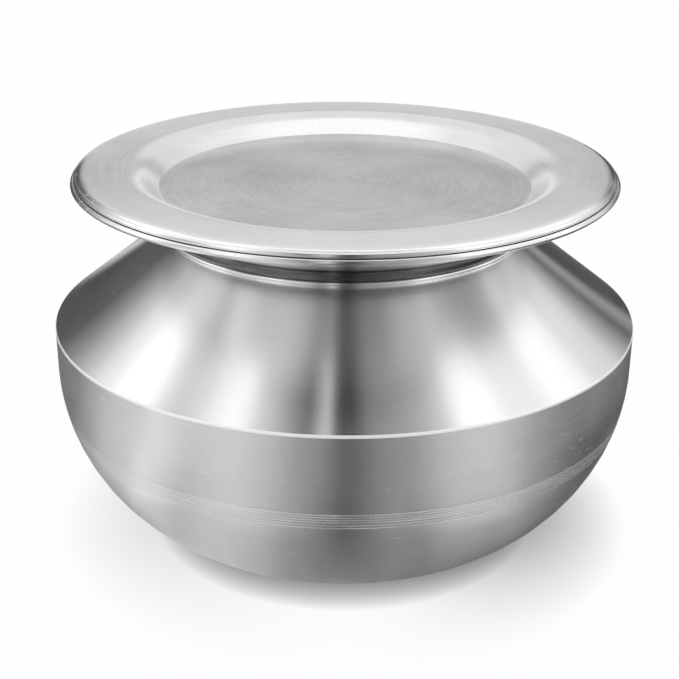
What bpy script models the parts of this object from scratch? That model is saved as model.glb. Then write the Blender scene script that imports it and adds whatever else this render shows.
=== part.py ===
"""Aluminium handi: a round-bellied spun cooking pot with a flared mouth, and its loose sunk lid.

Units are metres. +Z is up, and the origin is the centre of the flat base. Both pieces are turned
about the Z axis, so each is drawn as a section of points (radius, height) and spun.
"""

import math

import bmesh
import bpy
from mathutils import Vector

# Pot
POT_WALL = 0.0020
BELLY_RADIUS = 0.1400
BOWL_ARC_RADIUS = 0.0920
SIDE_BAND_HEIGHT = 0.0197
CREASE_ROUND = 0.0010
SHOULDER_RISE = 0.0430
NECK_RADIUS = 0.0854
NECK_BEAD_RADIUS = 0.0012
NECK_HEIGHT = 0.0010
NECK_BEND_RADIUS = 0.0050
FLARE_RISE = 0.0224
LIP_RADIUS = 0.1283
LIP_BEAD_PROUD = 0.0003

# Lid
LID_WALL = 0.0015
LID_SETBACK = 0.0017
LID_BEAD_PROUD = 0.00035
LID_EDGE_BEND_RADIUS = 0.0072
LID_EDGE_DROP = 0.0016
RIM_WIDTH = 0.0172
WELL_DEPTH = 0.0094
WELL_TOP_ROUND = 0.0140
WELL_FLOOR_ROUND = 0.0015
SEAT_CLEARANCE = 0.0003

# Angles, and the number of flats on each curve
WELL_WALL_ANGLE = math.radians(40)
FULL_TURN = math.tau
HALF_TURN = FULL_TURN / 2
QUARTER_TURN = FULL_TURN / 4
AROUND = 72
BOWL_STEPS = 12
BEND_STEPS = 4
BEAD_STEPS = 7
NECK_BEAD_STEPS = 4
CREASE_STEPS = 2
SHARP_ANGLE = math.radians(30)
WELD_SHARE = 0.01

# Heights and places that follow from the sizes
BASE_RADIUS = BELLY_RADIUS - BOWL_ARC_RADIUS
CREASE_HEIGHT = BOWL_ARC_RADIUS + SIDE_BAND_HEIGHT
NECK_FOOT = Vector((NECK_RADIUS, CREASE_HEIGHT + SHOULDER_RISE))
NECK_TOP_HEIGHT = NECK_FOOT.y + 2 * NECK_BEAD_RADIUS + NECK_HEIGHT
LIP_BEAD_RADIUS = POT_WALL / 2 + LIP_BEAD_PROUD
LIP_BEAD_CENTRE = Vector((LIP_RADIUS - LIP_BEAD_RADIUS, NECK_TOP_HEIGHT + FLARE_RISE))
LID_BEAD_RADIUS = LID_WALL / 2 + LID_BEAD_PROUD
LID_BEAD_PLACE = LIP_RADIUS - LID_SETBACK - LID_BEAD_RADIUS


def along(angle):
    """Unit direction in the section, measured from straight out towards straight up."""
    return Vector((math.cos(angle), math.sin(angle)))


def arc(centre, radius, start, end, steps):
    """Points from one angle to the other on a circle, both ends included."""
    turn = (end - start) / steps
    return [centre + radius * along(start + turn * i) for i in range(steps + 1)]


def offset(line, distance):
    """The line moved to its left by a distance, with its corners mitred."""
    sides = []
    for first, second in zip(line, line[1:]):
        run = (second - first).normalized()
        sides.append(Vector((-run.y, run.x)))
    moved = [line[0] + distance * sides[0]]
    for point, before, after in zip(line[1:-1], sides, sides[1:]):
        mitre = (before + after).normalized()
        moved.append(point + mitre * distance / mitre.dot(before))
    moved.append(line[-1] + distance * sides[-1])
    return moved


def angle_of(vector):
    return math.atan2(vector.y, vector.x)


def bead(centre, radius, first, last):
    """The round of a rolled edge, clockwise from one point on it to the other, ends left out."""
    start = angle_of(first - centre)
    end = angle_of(last - centre)
    if end > start:
        end -= FULL_TURN
    return arc(centre, radius, start, end, BEAD_STEPS)[1:-1]


def edge_reach(bead_radius, wall):
    """How far behind the bead's centre a sheet's faces meet the bead."""
    return math.sqrt(bead_radius**2 - (wall / 2) ** 2)


def crease_round():
    """The small round that stands for the crisp edge between the bowl and the shoulder."""
    shoulder = angle_of(NECK_FOOT - Vector((BELLY_RADIUS, CREASE_HEIGHT)))
    normal = shoulder - QUARTER_TURN
    corner = Vector((BELLY_RADIUS, CREASE_HEIGHT))
    centre = corner - CREASE_ROUND * Vector((1, math.tan(normal / 2)))
    return arc(centre, CREASE_ROUND, 0, normal, CREASE_STEPS)


def flare_line():
    """The mouth's lower face: it bends out of the neck and runs straight to the lip's bead."""
    bend_centre = Vector((NECK_RADIUS + NECK_BEND_RADIUS, NECK_TOP_HEIGHT))
    to_lip = LIP_BEAD_CENTRE - bend_centre
    middle = NECK_BEND_RADIUS + POT_WALL / 2
    slope = angle_of(to_lip) - math.asin(middle / to_lip.length)
    bend = arc(bend_centre, NECK_BEND_RADIUS, HALF_TURN, QUARTER_TURN + slope, BEND_STEPS)
    face = LIP_BEAD_CENTRE - POT_WALL / 2 * along(slope + QUARTER_TURN)
    return bend + [face - edge_reach(LIP_BEAD_RADIUS, POT_WALL) * along(slope)]


def pot_section():
    """Closed section of the pot, from the inside floor up, over the lip and down the outside."""
    bowl_centre = Vector((BASE_RADIUS, BOWL_ARC_RADIUS))
    bowl = arc(bowl_centre, BOWL_ARC_RADIUS, -QUARTER_TURN, 0, BOWL_STEPS)
    base = Vector((0, 0))
    corner = Vector((BELLY_RADIUS, CREASE_HEIGHT))
    flare = flare_line()
    sheet = [base] + bowl + [corner, NECK_FOOT] + flare
    inside = offset(sheet, POT_WALL)
    lip = bead(LIP_BEAD_CENTRE, LIP_BEAD_RADIUS, inside[-1], flare[-1])
    bead_centre = NECK_FOOT + Vector((0, NECK_BEAD_RADIUS))
    neck_bead = arc(bead_centre, NECK_BEAD_RADIUS, -QUARTER_TURN, QUARTER_TURN, NECK_BEAD_STEPS)
    outside = [base] + bowl + crease_round() + neck_bead + flare
    return inside + lip + outside[::-1]


def lid_seat():
    """Height of the lid's bead above the lip's, with the two rounds a seat clearance apart."""
    apart = LIP_BEAD_RADIUS + LID_BEAD_RADIUS + SEAT_CLEARANCE
    sideways = LIP_BEAD_CENTRE.x - LID_BEAD_PLACE
    return LIP_BEAD_CENTRE.y + math.sqrt(apart**2 - sideways**2)


def lid_section():
    """Closed section of the lid about the height of its bead: top face outwards, then back."""
    bead_centre = Vector((LID_BEAD_PLACE, 0))
    half = LID_WALL / 2
    rim_top = LID_EDGE_DROP + half
    # The turned-down edge is one bend, whose middle line ends in the bead's centre.
    bend_middle = LID_EDGE_BEND_RADIUS - half
    turn = math.acos(1 - LID_EDGE_DROP / bend_middle)
    rim_edge = LID_BEAD_PLACE - bend_middle * math.sin(turn)
    bend_centre = Vector((rim_edge, rim_top - LID_EDGE_BEND_RADIUS))
    bend_end = QUARTER_TURN - turn + edge_reach(LID_BEAD_RADIUS, LID_WALL) / bend_middle
    edge = arc(bend_centre, LID_EDGE_BEND_RADIUS, QUARTER_TURN, bend_end, BEND_STEPS)
    # The well's wall is a straight slope between a wide round at the top and a tight one below.
    top_centre = Vector((rim_edge - RIM_WIDTH, rim_top - WELL_TOP_ROUND))
    top = arc(top_centre, WELL_TOP_ROUND, QUARTER_TURN + WELL_WALL_ANGLE, QUARTER_TURN, BEND_STEPS)
    rounds = WELL_TOP_ROUND + WELL_FLOOR_ROUND
    slope_rise = WELL_DEPTH - rounds * (1 - math.cos(WELL_WALL_ANGLE))
    wall_run = rounds * math.sin(WELL_WALL_ANGLE) + slope_rise / math.tan(WELL_WALL_ANGLE)
    floor = Vector((0, rim_top - WELL_DEPTH))
    low_centre = Vector((top_centre.x - wall_run, floor.y + WELL_FLOOR_ROUND))
    low = arc(low_centre, WELL_FLOOR_ROUND, -QUARTER_TURN, WELL_WALL_ANGLE - QUARTER_TURN, CREASE_STEPS)
    upper = [floor] + low + top + edge
    lower = offset(upper, -LID_WALL)
    return upper + bead(bead_centre, LID_BEAD_RADIUS, upper[-1], lower[-1]) + lower[::-1]


def metal(name, colour, roughness):
    material = bpy.data.materials.new(name)
    material.use_nodes = True
    shader = material.node_tree.nodes["Principled BSDF"]
    shader.inputs["Base Color"].default_value = (*colour, 1)
    shader.inputs["Metallic"].default_value = 1
    shader.inputs["Roughness"].default_value = roughness
    material.diffuse_color = (*colour, 1)
    return material


def turned(name, section, material):
    """One closed body, spun from a section whose first and last points lie on the axis."""
    shape = bmesh.new()
    points = [shape.verts.new((point.x, 0, point.y)) for point in section]
    edges = [shape.edges.new(pair) for pair in zip(points, points[1:])]
    bmesh.ops.spin(
        shape,
        geom=points + edges,
        cent=(0, 0, 0),
        axis=(0, 0, 1),
        angle=FULL_TURN,
        steps=AROUND,
        use_merge=True,
    )
    bmesh.ops.remove_doubles(shape, verts=shape.verts, dist=WELD_SHARE * CREASE_ROUND)
    bmesh.ops.recalc_face_normals(shape, faces=shape.faces)
    mesh = bpy.data.meshes.new(name)
    shape.to_mesh(mesh)
    shape.free()
    mesh.shade_smooth()
    mesh.set_sharp_from_angle(angle=SHARP_ANGLE)
    mesh.materials.append(material)
    piece = bpy.data.objects.new(name, mesh)
    bpy.context.scene.collection.objects.link(piece)
    return piece


for old in list(bpy.data.objects):
    bpy.data.objects.remove(old)

turned("pot", pot_section(), metal("pot_aluminium", (0.74, 0.74, 0.75), 0.28))
lid = turned("lid", lid_section(), metal("lid_aluminium", (0.78, 0.78, 0.79), 0.38))
lid.location.z = lid_seat()
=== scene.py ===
import math

import bmesh
import bpy
from mathutils import Matrix, Vector


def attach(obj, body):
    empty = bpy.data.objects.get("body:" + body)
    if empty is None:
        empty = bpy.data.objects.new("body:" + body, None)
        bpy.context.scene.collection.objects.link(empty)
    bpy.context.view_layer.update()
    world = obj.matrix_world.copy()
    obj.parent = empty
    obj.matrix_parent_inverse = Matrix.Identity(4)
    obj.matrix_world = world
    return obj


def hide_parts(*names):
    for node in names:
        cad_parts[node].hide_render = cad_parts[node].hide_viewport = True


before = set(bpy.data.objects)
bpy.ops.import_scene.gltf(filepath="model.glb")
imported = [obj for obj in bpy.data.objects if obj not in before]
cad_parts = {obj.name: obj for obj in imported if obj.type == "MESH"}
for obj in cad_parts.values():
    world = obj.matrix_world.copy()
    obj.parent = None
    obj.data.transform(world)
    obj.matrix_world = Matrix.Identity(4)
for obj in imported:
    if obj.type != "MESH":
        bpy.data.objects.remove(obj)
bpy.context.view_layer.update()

# Sizes in metres. A place in a section is given as (radius, height).

WALL = 0.0020
BELLY_RADIUS = 0.1400
BOWL_ROUND = 0.0920
CREASE_HEIGHT = 0.1117
CREASE_ROUND = 0.0010
NECK_RADIUS = 0.0854
NECK_FOOT_HEIGHT = 0.1547
NECK_BEAD = 0.0012
NECK_TOP_HEIGHT = 0.1581
NECK_BEND = 0.0050
LIP_BEAD = 0.0013
LIP_CENTRE = (0.1270, 0.1805)

LID_WALL = 0.0015
LID_BEAD = 0.0011
LID_BEAD_CENTRE = (0.1255, 0.182745)
LID_TOP_HEIGHT = 0.185095
LID_EDGE_BEND = 0.0048
LID_RIM_INNER = 0.10404
LID_WELL_DEPTH = 0.0094
LID_WELL_SLOPE = math.radians(40)
LID_WELL_SHOULDER = 0.0140
LID_WELL_FOOT = 0.0015
LID_FLOOR_HEIGHT = LID_TOP_HEIGHT - LID_WELL_DEPTH

# Six rings are scribed round the bowl as shallow grooves
SCRIBED_HEIGHTS = (0.0742, 0.0729, 0.0715, 0.0702, 0.0686, 0.0671)
SCRIBED_WIDTH = 0.0006
SCRIBED_DEPTH = 0.00012

# Where one finish gives way to the next
CREASE_LINE_FOOT = CREASE_HEIGHT - 0.0009
CREASE_LINE_TOP = CREASE_HEIGHT + 0.0004
# Inside this radius the neck under the lip takes its painted shade
PAINTED_SHADE_NECK_EDGE = 0.0935
LID_EDGE_START = 0.1222
LEVEL_FLOOR = 0.0002

TURNS = 180
STUDIO_TURNS = 96
QUARTER = math.pi / 2
CENTRE_DISC = 0.010


# Turning a section into metal


def full_turn(shape, parts, steps):
    """Spins parts of a shape once round the Z axis."""
    bmesh.ops.spin(
        shape, geom=parts, cent=(0, 0, 0), axis=(0, 0, 1), angle=math.tau, steps=steps, use_merge=True
    )


class Section:
    """A lathe section drawn point by point in the X-Z plane, with X as the radius."""

    def __init__(self, radius, height):
        self.shape = bmesh.new()
        self.end = self.shape.verts.new((radius, 0, height))

    def line(self, radius, height, parts=1):
        """A straight run to a point, in equal parts."""
        start = self.end.co.copy()
        goal = Vector((radius, 0, height))
        for i in range(parts):
            fresh = self.shape.verts.new(start.lerp(goal, (i + 1) / parts))
            self.shape.edges.new((self.end, fresh))
            self.end = fresh
        return self

    def arc(self, centre, turn, steps):
        """A round from the last point about a centre, anticlockwise if turn > 0."""
        made = bmesh.ops.spin(
            self.shape,
            geom=[self.end],
            cent=(centre[0], 0, centre[1]),
            axis=(0, -1, 0),
            angle=turn,
            steps=steps,
        )
        self.end = next(part for part in made["geom_last"] if isinstance(part, bmesh.types.BMVert))
        return self

    def turned(self, name, finishes, finish_of):
        """Spins the section into a closed piece, and gives each face the finish of its place."""
        full_turn(self.shape, self.shape.verts[:] + self.shape.edges[:], TURNS)
        bmesh.ops.remove_doubles(self.shape, verts=self.shape.verts, dist=0.000004)
        bmesh.ops.recalc_face_normals(self.shape, faces=self.shape.faces)
        self.shape.normal_update()
        for face in self.shape.faces:
            face.smooth = True
            face.material_index = finishes.index(finish_of(face))
        return new_piece(name, self.shape, finishes)


def new_piece(name, shape, finishes):
    mesh = bpy.data.meshes.new(name)
    shape.to_mesh(mesh)
    shape.free()
    for finish in finishes:
        mesh.materials.append(finish)
    piece = bpy.data.objects.new(name, mesh)
    bpy.context.scene.collection.objects.link(piece)
    return piece


def bearing(point, centre):
    """Angle of a point about a centre."""
    return math.atan2(point[1] - centre[1], point[0] - centre[0])


def offset_point(point, angle, distance):
    return (point[0] + math.cos(angle) * distance, point[1] + math.sin(angle) * distance)


# The slope of the shoulder and of the flared mouth

SHOULDER_ANGLE = math.atan2(NECK_FOOT_HEIGHT - CREASE_HEIGHT, NECK_RADIUS - BELLY_RADIUS)
SHOULDER_OUT = SHOULDER_ANGLE - QUARTER
FLARE_CENTRE = (NECK_RADIUS + NECK_BEND, NECK_TOP_HEIGHT)
FLARE_RUN = math.dist(FLARE_CENTRE, LIP_CENTRE)
FLARE_ANGLE = bearing(LIP_CENTRE, FLARE_CENTRE) - math.asin((NECK_BEND + WALL / 2) / FLARE_RUN)
BOWL_CENTRE = (BELLY_RADIUS - BOWL_ROUND, BOWL_ROUND)


def bowl_point(height, inset=0.0):
    """A point of the bowl's outer arc at a height, moved inwards by an inset."""
    rise = (BOWL_ROUND - height) / BOWL_ROUND
    return offset_point(BOWL_CENTRE, -math.asin(rise), BOWL_ROUND - inset)


def pot_section():
    """The pot's section from the middle of the base, up the outside and down the inside."""
    section = Section(0, 0)
    section.line(CENTRE_DISC, 0).line(BOWL_CENTRE[0], 0, 8)
    # The bowl's arc stops at each scribed ring
    angle = -QUARTER
    steps = 14
    for height in reversed(SCRIBED_HEIGHTS):
        low = bowl_point(height - SCRIBED_WIDTH / 2)
        section.arc(BOWL_CENTRE, bearing(low, BOWL_CENTRE) - angle, steps)
        floor_low = bowl_point(height - SCRIBED_WIDTH / 6, SCRIBED_DEPTH)
        floor_high = bowl_point(height + SCRIBED_WIDTH / 6, SCRIBED_DEPTH)
        high = bowl_point(height + SCRIBED_WIDTH / 2)
        section.line(*floor_low).line(*floor_high).line(*high)
        angle = bearing(high, BOWL_CENTRE)
        steps = 2
    section.arc(BOWL_CENTRE, -angle, 20)
    # The side band, the crease and the shoulder
    band_top = CREASE_HEIGHT - CREASE_ROUND * math.tan(SHOULDER_OUT / 2)
    section.line(BELLY_RADIUS, band_top - 0.0006, 5).line(BELLY_RADIUS, band_top)
    section.arc((BELLY_RADIUS - CREASE_ROUND, band_top), SHOULDER_OUT, 6)
    start = section.end.co.copy()
    foot = Vector((NECK_RADIUS, 0, NECK_FOOT_HEIGHT))
    near = start.lerp(foot, 0.01)
    far = start.lerp(foot, 0.99)
    section.line(near.x, near.z).line(far.x, far.z, 16).line(foot.x, foot.z)
    # The neck, the flare and the lip
    section.arc((NECK_RADIUS, NECK_FOOT_HEIGHT + NECK_BEAD), math.pi, 10)
    section.line(NECK_RADIUS, NECK_TOP_HEIGHT, 2)
    section.arc(FLARE_CENTRE, FLARE_ANGLE - QUARTER, 10)
    back = math.sqrt(LIP_BEAD**2 - (WALL / 2) ** 2)
    lower = offset_point(offset_point(LIP_CENTRE, FLARE_ANGLE - QUARTER, WALL / 2), FLARE_ANGLE, -back)
    upper = offset_point(offset_point(LIP_CENTRE, FLARE_ANGLE + QUARTER, WALL / 2), FLARE_ANGLE, -back)
    section.line(*lower, 10)
    section.arc(LIP_CENTRE, bearing(upper, LIP_CENTRE) - bearing(lower, LIP_CENTRE), 18)
    # Back down the inside
    inner_bend = offset_point(FLARE_CENTRE, FLARE_ANGLE + QUARTER, NECK_BEND + WALL)
    section.line(*inner_bend, 10)
    section.arc(FLARE_CENTRE, QUARTER - FLARE_ANGLE, 10)
    wall_shift = WALL * math.tan((QUARTER - SHOULDER_OUT) / 2)
    section.line(NECK_RADIUS - WALL, NECK_FOOT_HEIGHT - wall_shift, 3)
    inner_crease = CREASE_HEIGHT - WALL * math.tan(SHOULDER_OUT / 2)
    section.line(BELLY_RADIUS - WALL, inner_crease, 10)
    section.line(BELLY_RADIUS - WALL, BOWL_ROUND, 3)
    section.arc(BOWL_CENTRE, -QUARTER, 24)
    section.line(CENTRE_DISC, WALL, 6).line(0, WALL)
    return section


def lid_section():
    """The lid's section from the middle of the well, out over the top and back underneath."""
    half = LID_WALL / 2
    bend_middle = LID_EDGE_BEND - half
    drop = LID_TOP_HEIGHT - half - LID_BEAD_CENTRE[1]
    turn = math.acos(1 - drop / bend_middle)
    rim_edge = LID_BEAD_CENTRE[0] - bend_middle * math.sin(turn)
    edge_centre = (rim_edge, LID_TOP_HEIGHT - LID_EDGE_BEND)
    edge_turn = turn - math.sqrt(LID_BEAD**2 - half**2) / bend_middle
    rounds = LID_WELL_SHOULDER + LID_WELL_FOOT
    rise = LID_WELL_DEPTH - rounds * (1 - math.cos(LID_WELL_SLOPE))
    run = rise / math.tan(LID_WELL_SLOPE)
    foot_radius = LID_RIM_INNER - rounds * math.sin(LID_WELL_SLOPE) - run
    foot_centre = (foot_radius, LID_FLOOR_HEIGHT + LID_WELL_FOOT)
    shoulder_centre = (LID_RIM_INNER, LID_TOP_HEIGHT - LID_WELL_SHOULDER)
    section = Section(0, LID_FLOOR_HEIGHT)
    section.line(CENTRE_DISC, LID_FLOOR_HEIGHT)
    section.line(foot_radius - 0.0006, LID_FLOOR_HEIGHT, 16).line(foot_radius, LID_FLOOR_HEIGHT)
    section.arc(foot_centre, LID_WELL_SLOPE, 6)
    end = section.end.co
    section.line(end.x + run, end.z + rise, 3)
    section.arc(shoulder_centre, -LID_WELL_SLOPE, 14)
    section.line(rim_edge, LID_TOP_HEIGHT, 6)
    section.arc(edge_centre, -edge_turn, 8)
    # Round the bead, and back underneath
    upper = (section.end.co.x, section.end.co.z)
    lower = offset_point(edge_centre, QUARTER - edge_turn, LID_EDGE_BEND - LID_WALL)
    sweep = bearing(lower, LID_BEAD_CENTRE) - bearing(upper, LID_BEAD_CENTRE)
    section.arc(LID_BEAD_CENTRE, sweep if sweep < 0 else sweep - math.tau, 16)
    section.arc(edge_centre, edge_turn, 6)
    section.line(LID_RIM_INNER, LID_TOP_HEIGHT - LID_WALL, 4)
    section.arc(shoulder_centre, LID_WELL_SLOPE, 10)
    low = offset_point(foot_centre, LID_WELL_SLOPE - QUARTER, LID_WELL_FOOT + LID_WALL)
    section.line(*low, 3)
    section.arc(foot_centre, -LID_WELL_SLOPE, 6)
    section.line(CENTRE_DISC, LID_FLOOR_HEIGHT - LID_WALL, 8).line(0, LID_FLOOR_HEIGHT - LID_WALL)
    return section


# Finishes are written as sums on shader values


class Value:
    """A number or colour that varies over a surface."""

    def __init__(self, recipe, socket):
        self.recipe = recipe
        self.socket = socket

    def sum(self, operation, *others):
        return self.recipe.node("ShaderNodeMath", {"operation": operation}, 0, self, *others)

    def __add__(self, other):
        return self.sum("ADD", other)

    __radd__ = __add__

    def __sub__(self, other):
        return self.sum("SUBTRACT", other)

    def __rsub__(self, other):
        return self.recipe.node("ShaderNodeMath", {"operation": "SUBTRACT"}, 0, other, self)

    def __mul__(self, other):
        return self.sum("MULTIPLY", other)

    __rmul__ = __mul__

    def __truediv__(self, other):
        return self.sum("DIVIDE", other)

    def __abs__(self):
        return self.sum("ABSOLUTE")

    def rise(self, low, high):
        """A smooth climb from 0 at low to 1 at high; it falls where low is above high."""
        if low > high:
            return 1 - self.rise(high, low)
        settings = {"interpolation_type": "SMOOTHSTEP"}
        return self.recipe.node("ShaderNodeMapRange", settings, 0, self, low, high, 0.0, 1.0)

    def towards(self, other, share):
        """This number where the share is 0, and the other one where it is 1."""
        return self + (other - self) * share


class Recipe:
    """The nodes of one finish."""

    def __init__(self, tree):
        self.tree = tree

    def node(self, kind, settings, output, *inputs, **named):
        made = self.tree.nodes.new(kind)
        for name, setting in settings.items():
            if name == "stops":
                made.color_ramp.elements.remove(made.color_ramp.elements[1])
                made.color_ramp.elements[0].position = 0
                made.color_ramp.elements[0].color = (setting[0][1],) * 3 + (1,)
                for position, level in setting[1:]:
                    made.color_ramp.elements.new(position).color = (level, level, level, 1)
            else:
                setattr(made, name, setting)
        for place, value in [*enumerate(inputs), *named.items()]:
            socket = made.inputs[place.replace("_", " ") if isinstance(place, str) else place]
            if isinstance(value, Value):
                self.tree.links.new(value.socket, socket)
            else:
                socket.default_value = value
        return Value(self, made.outputs[output])

    def place(self):
        """The point of the surface, in metres."""
        return self.node("ShaderNodeTexCoord", {}, "Object")

    def parts(self, vector):
        """The X, Y and Z of a vector."""
        split = self.node("ShaderNodeSeparateXYZ", {}, 0, vector)
        return [Value(self, output) for output in split.socket.node.outputs]

    def vector(self, x, y, z):
        return self.node("ShaderNodeCombineXYZ", {}, 0, x, y, z)

    def vector_sum(self, operation, *vectors):
        output = "Value" if operation == "LENGTH" else "Vector"
        return self.node("ShaderNodeVectorMath", {"operation": operation}, output, *vectors)

    def noise(self, vector, scale, detail):
        return self.node("ShaderNodeTexNoise", {}, 0, Vector=vector, Scale=scale, Detail=detail)

    def mix(self, share, first, second):
        """One colour or the other by a share from 0 to 1."""
        made = self.tree.nodes.new("ShaderNodeMix")
        made.data_type = "RGBA"
        self.tree.links.new(share.socket, made.inputs[0])
        made.inputs[6].default_value = (*first, 1)
        made.inputs[7].default_value = (*second, 1)
        return Value(self, made.outputs[2])

    def glow(self, strength):
        return self.node("ShaderNodeEmission", {}, 0, Strength=strength)

    def send(self, value, node, name):
        """Leads a value to a named input of a node."""
        self.tree.links.new(value.socket, node.inputs[name])

    def send_to_surface(self, value):
        self.send(value, self.tree.nodes["Material Output"], "Surface")


def new_finish(name):
    finish = bpy.data.materials.new(name)
    finish.use_nodes = True
    return finish, Recipe(finish.node_tree), finish.node_tree.nodes["Principled BSDF"]


def aluminium(
    name,
    dull,
    bright,
    roughness,
    streak,
    run_of,
    pitch,
    brush_share,
    stain_share,
    bump,
    metallic=1.0,
    rings=(),
):
    """Turned aluminium: brush marks run round the axis, with short scratches, stains and fine grain.

    run_of gives the distance along the section from the radius and height; pitch is the spacing of
    the brush marks and bump their depth, both in metres. streak stretches the mirrored light along
    the section, and metallic below 1 lets the surface scatter light, which paints the crease's white
    line, a painted highlight. rings are heights of scribed rings, whose bands scatter light too:
    partly scuffing, partly a painted highlight that draws a bright line along each ring.
    """
    finish, recipe, shader = new_finish(name)
    place = recipe.place()
    x, y, z = recipe.parts(place)
    level_place = recipe.vector(x, y, 0.0)
    radius = recipe.vector_sum("LENGTH", level_place)
    out_x, out_y, _ = recipe.parts(recipe.vector_sum("NORMALIZE", level_place))
    run = run_of(radius, z)

    def marks(around, spacing, detail):
        """Noise drawn out round the axis: about so many marks in a radian, at a spacing in metres."""
        return recipe.noise(recipe.vector(out_x * around, out_y * around, run / spacing), 1.0, detail)

    broad = marks(around=2.5, spacing=pitch, detail=3.0)
    fine = marks(around=8.0, spacing=pitch * 0.45, detail=2.0)
    brush = 0.6 * broad + 0.4 * fine
    scratch = marks(around=26.0, spacing=0.0009, detail=0.0).rise(0.76, 0.84)
    long_scratch = marks(around=5.0, spacing=0.0005, detail=0.0).rise(0.80, 0.85)
    stain = recipe.noise(place, scale=22.0, detail=4.0)
    grain = recipe.noise(place, scale=850.0, detail=1.0)
    tone = 0.5 + (brush - 0.5) * brush_share + (stain - 0.5) * stain_share + (grain - 0.5) * 0.35
    # Scratches are wear; metallic below 1 and the scribed rings add painted highlights
    scuffs_and_painted_highlight = 0.25 * scratch + 0.22 * long_scratch + (1 - metallic)
    # Each scribed ring scatters light: partly scuffing, partly a painted highlight as a bright line
    for height in rings:
        ring = abs(z - height).rise(0.00050, 0.00015)
        scuffs_and_painted_highlight = scuffs_and_painted_highlight + 0.55 * ring * marks(around=9.0, spacing=0.004, detail=1.0)
    depth = brush + 0.12 * grain
    recipe.send(recipe.mix(tone, dull, bright), shader, "Base Color")
    recipe.send(1 - scuffs_and_painted_highlight, shader, "Metallic")
    recipe.send(roughness + (stain - 0.5) * 0.12 + (brush - 0.5) * 0.10, shader, "Roughness")
    normal = recipe.node("ShaderNodeBump", {}, 0, Strength=1.0, Distance=bump, Height=depth)
    recipe.send(normal, shader, "Normal")
    shader.inputs["Anisotropic"].default_value = streak
    shader.inputs["Anisotropic Rotation"].default_value = 0.25
    return finish


def down_the_bowl(radius, height):
    return radius + height


def down_the_shoulder(radius, height):
    return radius - height


def across_the_lid(radius, height):
    return radius - 0.7 * height


shoulder_polish = aluminium(
    "shoulder_polish",
    dull=(0.84, 0.845, 0.855),
    bright=(0.95, 0.95, 0.955),
    roughness=0.22,
    streak=1.0,
    run_of=down_the_shoulder,
    pitch=0.0011,
    brush_share=0.5,
    stain_share=0.6,
    bump=3e-6,
)
bowl_satin = aluminium(
    "bowl_satin",
    dull=(0.80, 0.81, 0.825),
    bright=(0.98, 0.985, 0.99),
    roughness=0.34,
    streak=0.85,
    run_of=down_the_bowl,
    pitch=0.0012,
    brush_share=0.45,
    stain_share=1.3,
    bump=4e-6,
    rings=SCRIBED_HEIGHTS,
)
# The crease is coloured white and scatters light, a painted highlight that shows as a white line from
# every side
crease_painted_highlight = aluminium(
    "crease_painted_highlight",
    dull=(0.97, 0.97, 0.97),
    bright=(1.0, 1.0, 1.0),
    roughness=0.35,
    streak=0.0,
    run_of=down_the_shoulder,
    pitch=0.0009,
    brush_share=0.4,
    stain_share=0.5,
    bump=3e-6,
    metallic=0.35,
)
lip_bright = aluminium(
    "lip_bright",
    dull=(0.84, 0.845, 0.85),
    bright=(0.95, 0.95, 0.955),
    roughness=0.20,
    streak=0.6,
    run_of=down_the_bowl,
    pitch=0.0009,
    brush_share=0.6,
    stain_share=0.5,
    bump=4e-6,
)
# The neck under the lip is coloured near black: painted shade, where the lip's overhang keeps light
# off it
neck_painted_shade = aluminium(
    "neck_painted_shade_finish",
    dull=(0.10, 0.10, 0.105),
    bright=(0.26, 0.26, 0.265),
    roughness=0.20,
    streak=0.4,
    run_of=down_the_bowl,
    pitch=0.0009,
    brush_share=0.8,
    stain_share=0.9,
    bump=3e-6,
)
inside_satin = aluminium(
    "inside_satin",
    dull=(0.72, 0.725, 0.74),
    bright=(0.88, 0.885, 0.895),
    roughness=0.40,
    streak=0.6,
    run_of=down_the_bowl,
    pitch=0.0016,
    brush_share=0.9,
    stain_share=0.9,
    bump=1e-5,
)
lid_satin = aluminium(
    "lid_satin",
    dull=(0.82, 0.825, 0.835),
    bright=(0.98, 0.98, 0.985),
    roughness=0.24,
    streak=0.30,
    run_of=across_the_lid,
    pitch=0.0012,
    brush_share=0.9,
    stain_share=1.1,
    bump=5e-6,
)
# The well's floor is the lid's own metal in a darker colour: painted shade in the recess
well_painted_shade = aluminium(
    "well_painted_shade",
    dull=(0.56, 0.57, 0.585),
    bright=(0.84, 0.845, 0.855),
    roughness=0.26,
    streak=0.30,
    run_of=across_the_lid,
    pitch=0.0014,
    brush_share=1.1,
    stain_share=1.4,
    bump=6e-6,
)

# Pieces


def pot_finish(face):
    middle = face.calc_center_median()
    radius = math.hypot(middle.x, middle.y)
    faces_inwards = face.normal.x * middle.x + face.normal.y * middle.y < -0.01 * radius
    on_inner_floor = middle.z < 1.5 * WALL and face.normal.z > 0.9
    if radius < LIP_CENTRE[0] - LIP_BEAD and faces_inwards or on_inner_floor:
        return inside_satin
    # Under the lip the neck takes the near-black colour, a painted shade
    if middle.z > NECK_FOOT_HEIGHT + 2 * NECK_BEAD and radius < PAINTED_SHADE_NECK_EDGE:
        return neck_painted_shade
    if middle.z > NECK_FOOT_HEIGHT:
        return lip_bright
    if middle.z > CREASE_LINE_TOP:
        return shoulder_polish
    return crease_painted_highlight if middle.z > CREASE_LINE_FOOT else bowl_satin


pot_finishes = [bowl_satin, crease_painted_highlight, shoulder_polish, lip_bright, inside_satin, neck_painted_shade]
pot = pot_section().turned("pot_shell", pot_finishes, pot_finish)
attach(pot, "pot")
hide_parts("pot")


def lid_finish(face):
    middle = face.calc_center_median()
    if math.hypot(middle.x, middle.y) > LID_EDGE_START:
        return lip_bright
    if face.normal.z < 0:
        return inside_satin
    return well_painted_shade if middle.z < LID_FLOOR_HEIGHT + LEVEL_FLOOR else lid_satin


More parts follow.
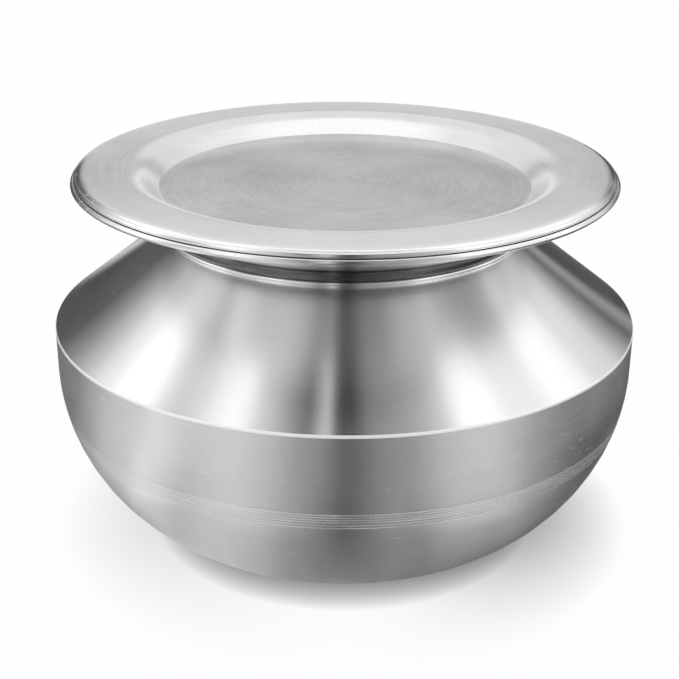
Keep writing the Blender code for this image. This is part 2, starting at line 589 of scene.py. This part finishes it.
lid = lid_section().turned("lid_plate", [lid_satin, well_painted_shade, lip_bright, inside_satin], lid_finish)
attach(lid, "lid")
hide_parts("lid")

# The studio: a white paper floor, and a tent of white and dark strips that only the metal mirrors

TENT_RADIUS = 0.7
TENT_CENTRE = 0.12
CLOTH_INNER = 0.05
CLOTH_HEIGHT = 0.001

# The strips stand on upright planes through a seam low at the back, given for a tent of radius 1.
# A place on the tent has a bearing from the seam, 0 straight to the front and growing to both
# sides, and a slope, the sine of the angle at which it is seen from the seam.
SEAM = (0, 0.9278, -0.3731)
SEAM_COVER = (0.30, 0.50)
SEAM_COVER_LEVEL = 0.5
FOOT_TO_BELT = (-0.276, -0.070)
BELT_TO_UPPER = (0.0, 0.342)
UPPER_TO_LOW_BACK = (0.74, 0.93)

# Brightness of the strips by their bearing in degrees
BRIGHTEST = 1.3
UPPER_LEFT = (
    (0, 0.03), (1.5, 0.05), (3, 0.82), (4.4, 0.42), (6.5, 0.08), (11, 0.42), (16, 0.68), (20, 1.13),
    (23, 1.10), (27, 0.66), (31, 0.48), (35, 0.70), (39, 1.24), (42, 1.30), (46, 1.16), (52, 0.78),
    (60, 0.32), (67, 0.11), (74, 0.08), (82, 0.06), (86, 0.70), (90, 0.15), (120, 0.50),
)
UPPER_RIGHT = (
    (0, 0.03), (2, 0.04), (5, 0.24), (9, 0.30), (15, 0.38), (19, 0.62), (22, 1.06), (25, 1.30),
    (28, 1.18), (33, 0.90), (38, 0.92), (43, 1.09), (47, 1.22), (50, 0.97), (54, 0.80), (60, 0.77),
    (66, 0.38), (71, 0.11), (75, 0.35), (78, 0.06), (95, 0.05), (120, 0.50),
)
BELT_LEFT = (
    (0, 0.07), (5, 0.30), (8, 0.42), (13, 0.62), (17, 0.62), (20, 0.53), (23, 0.54), (27, 0.78),
    (30, 0.94), (35, 0.57), (40, 0.48), (46, 0.30), (52, 0.15), (75, 0.20), (120, 0.30),
)
BELT_RIGHT = (
    (0, 0.07), (5, 0.23), (10, 0.30), (15, 0.52), (20, 0.57), (24, 0.50), (28, 0.32), (33, 0.16),
    (38, 0.05), (44, 0.0), (75, 0.02), (120, 0.20),
)
FOOT_LEFT = (
    (0, 0.26), (6, 0.28), (12, 0.46), (18, 0.58), (24, 0.46), (30, 0.20), (37, 0.25), (45, 0.38),
    (120, 0.50),
)
FOOT_RIGHT = (
    (0, 0.26), (6, 0.18), (12, 0.10), (18, 0.02), (30, 0.0), (38, 0.06), (48, 0.28), (60, 0.52),
    (120, 0.55),
)

# The upper strips in front are a little brighter; upwards all brighten, but those in front darken
FRONT_STRIPS = (22 / 180, 11 / 180)
FRONT_GAIN = 0.25
UPWARDS = (0.65, 0.77)
UPWARDS_GAIN = 0.25
FRONT_UPWARDS_LOSS = 1.27

# The panel behind the pot dims a little upwards, and has a darker band across it
LOW_BACK = 0.90
LOW_BACK_LOSS = 0.10
LOW_BACK_BAND = 0.45
LOW_BACK_BAND_PLACE = 0.720

# The bright panel overhead
CROWN = 1.2


def strips_of_light(recipe):
    """Brightness of the tent, and of the cloths on the floor, as the metal mirrors them."""
    from_centre = recipe.vector_sum("SUBTRACT", recipe.place(), (0, 0, TENT_CENTRE))
    out = recipe.vector_sum("NORMALIZE", from_centre)
    from_seam = recipe.vector_sum("SUBTRACT", out, SEAM)
    across, back, up = recipe.parts(from_seam)
    length = recipe.vector_sum("LENGTH", from_seam)
    slope = up / length
    turn = recipe.node("ShaderNodeMath", {"operation": "ARCTAN2"}, 0, across, -1 * back)
    turned = abs(turn) / math.pi
    on_the_right = across.rise(-0.004, 0.004)

    def strips(levels):
        stops = [(degrees / 180, level / BRIGHTEST) for degrees, level in levels]
        return recipe.node("ShaderNodeValToRGB", {"stops": stops}, 0, turned) * BRIGHTEST

    foot = strips(FOOT_LEFT).towards(strips(FOOT_RIGHT), on_the_right)
    belt = strips(BELT_LEFT).towards(strips(BELT_RIGHT), on_the_right)
    upper = strips(UPPER_LEFT).towards(strips(UPPER_RIGHT), on_the_right)
    front = turned.rise(*FRONT_STRIPS)
    gain = slope.rise(*UPWARDS) * (UPWARDS_GAIN - FRONT_UPWARDS_LOSS * front)
    upper = upper * (1.0 + FRONT_GAIN * front + gain)
    wall = foot.towards(belt, slope.rise(*FOOT_TO_BELT)).towards(upper, slope.rise(*BELT_TO_UPPER))
    folds = recipe.noise(recipe.vector(turn * 14.0, slope * 1.5, 0.0), scale=1.0, detail=2.0)
    wall = wall * (0.75 + 0.5 * folds)
    band = abs(up - LOW_BACK_BAND_PLACE).rise(0.10, 0.03)
    low_back = LOW_BACK - LOW_BACK_LOSS * up.rise(0.66, 0.80) - LOW_BACK_BAND * band
    level = wall.towards(low_back, slope.rise(*UPPER_TO_LOW_BACK))
    _, out_back, out_up = recipe.parts(out)
    overhead = out_back.rise(-0.20, -0.06) * out_back.rise(0.28, 0.16) * out_up.rise(0.70, 0.85)
    level = level.towards(CROWN, overhead)
    # A plain cloth covers the seam, where all the strips meet
    return SEAM_COVER_LEVEL + (level - SEAM_COVER_LEVEL) * length.rise(*SEAM_COVER)


def stage_piece(name, shape, finish):
    """A piece of the studio."""
    piece = new_piece(name, shape, [finish])
    return piece


def only_for_metal(piece):
    """Keeps a piece of the studio for mirrored rays alone."""
    piece.visible_camera = False
    piece.visible_diffuse = False
    piece.visible_transmission = False
    piece.visible_volume_scatter = False
    piece.visible_shadow = False


tent_light, recipe, shader = new_finish("tent_light")
tent_light.cycles.emission_sampling = "NONE"
recipe.tree.nodes.remove(shader)
recipe.send_to_surface(recipe.glow(strips_of_light(recipe)))

# The tent is a dome that comes down to the floor
rim_angle = math.asin(TENT_CENTRE / TENT_RADIUS)
tent = bmesh.new()
rim = tent.verts.new((TENT_RADIUS * math.cos(rim_angle), 0, 0))
bmesh.ops.spin(
    tent, geom=[rim], cent=(0, 0, TENT_CENTRE), axis=(0, -1, 0), angle=QUARTER + rim_angle, steps=32
)
full_turn(tent, tent.verts[:] + tent.edges[:], STUDIO_TURNS)
bmesh.ops.remove_doubles(tent, verts=tent.verts, dist=0.0001)
only_for_metal(stage_piece("tent", tent, tent_light))

# Cloths lie on the floor where the metal mirrors it
cloths = bmesh.new()
inner = cloths.verts.new((CLOTH_INNER, 0, CLOTH_HEIGHT))
outer = cloths.verts.new((TENT_RADIUS, 0, CLOTH_HEIGHT))
full_turn(cloths, [inner, outer, cloths.edges.new((inner, outer))], STUDIO_TURNS)
only_for_metal(stage_piece("cloths", cloths, tent_light))

# The paper floor is plain white and glows for camera and mirrored rays, with a painted shadow that
# darkens it close under the pot, most of all at its sides; a small share is real shade on the lit
# paper
FLOOR_RADIUS = 4
CONTACT_REACH = 0.0128
CONTACT_SHADE = 0.82
WIDE_REACH = 0.042
WIDE_SHADE = 0.80
PAPER_GLOW = 0.95
paper, recipe, shader = new_finish("white_paper")
paper.cycles.emission_sampling = "NONE"
shader.inputs["Base Color"].default_value = (0.9, 0.9, 0.9, 1)
shader.inputs["Roughness"].default_value = 0.9
shader.inputs["Specular IOR Level"].default_value = 0


def open_sky(reach):
    """Share of the sky that a point of the floor sees past what stands within reach."""
    return recipe.node("ShaderNodeAmbientOcclusion", {"samples": 16}, "AO", Distance=reach)


seen = recipe.node("ShaderNodeLightPath", {}, "Is Camera Ray")
for kind in ("Is Glossy Ray", "Is Transmission Ray"):
    seen = seen + recipe.node("ShaderNodeLightPath", {}, kind)
out_x, out_y, _ = recipe.parts(recipe.vector_sum("NORMALIZE", recipe.place()))
at_the_sides = out_x * out_x * (0.42 + 0.66 * out_x.rise(-1.0, 1.0))
light = 1 - CONTACT_SHADE * (1 - open_sky(CONTACT_REACH))
light = light * (1 - WIDE_SHADE * at_the_sides * (1 - open_sky(WIDE_REACH)))
lit = Value(recipe, shader.outputs[0])
whole = recipe.node("ShaderNodeMixShader", {}, 0, PAPER_GLOW * seen, lit, recipe.glow(light))
recipe.send_to_surface(whole)
ground = bmesh.new()
bmesh.ops.create_circle(ground, cap_ends=True, segments=96, radius=FLOOR_RADIUS)
stage_piece("floor", ground, paper)

world = bpy.data.worlds.new("studio")
bpy.context.scene.world = world
world.use_nodes = True
world.node_tree.nodes["Background"].inputs["Color"].default_value = (1, 1, 1, 1)
world.cycles.sampling_method = "NONE"

# Camera

EYE = Vector((0, -0.62392, 0.36091))
DOWN = math.radians(23.1668)
YAW = math.radians(-0.2096)
ROLL = math.radians(0.2976)
FOCAL_LENGTH_IN_PIXELS = 1360.3
PICTURE_WIDTH = 679
SENSOR_WIDTH = 36
camera_data = bpy.data.cameras.new("camera")
camera_data.sensor_width = SENSOR_WIDTH
camera_data.lens = FOCAL_LENGTH_IN_PIXELS / PICTURE_WIDTH * SENSOR_WIDTH
camera_data.clip_start = 0.05
camera = bpy.data.objects.new("camera", camera_data)
tilt = Matrix.Rotation(QUARTER - DOWN, 4, "X") @ Matrix.Rotation(ROLL, 4, "Z")
camera.matrix_world = Matrix.Translation(EYE) @ Matrix.Rotation(-YAW, 4, "Z") @ tilt
bpy.context.scene.collection.objects.link(camera)
bpy.context.scene.camera = camera
bpy.context.scene.view_settings.view_transform = "Standard"
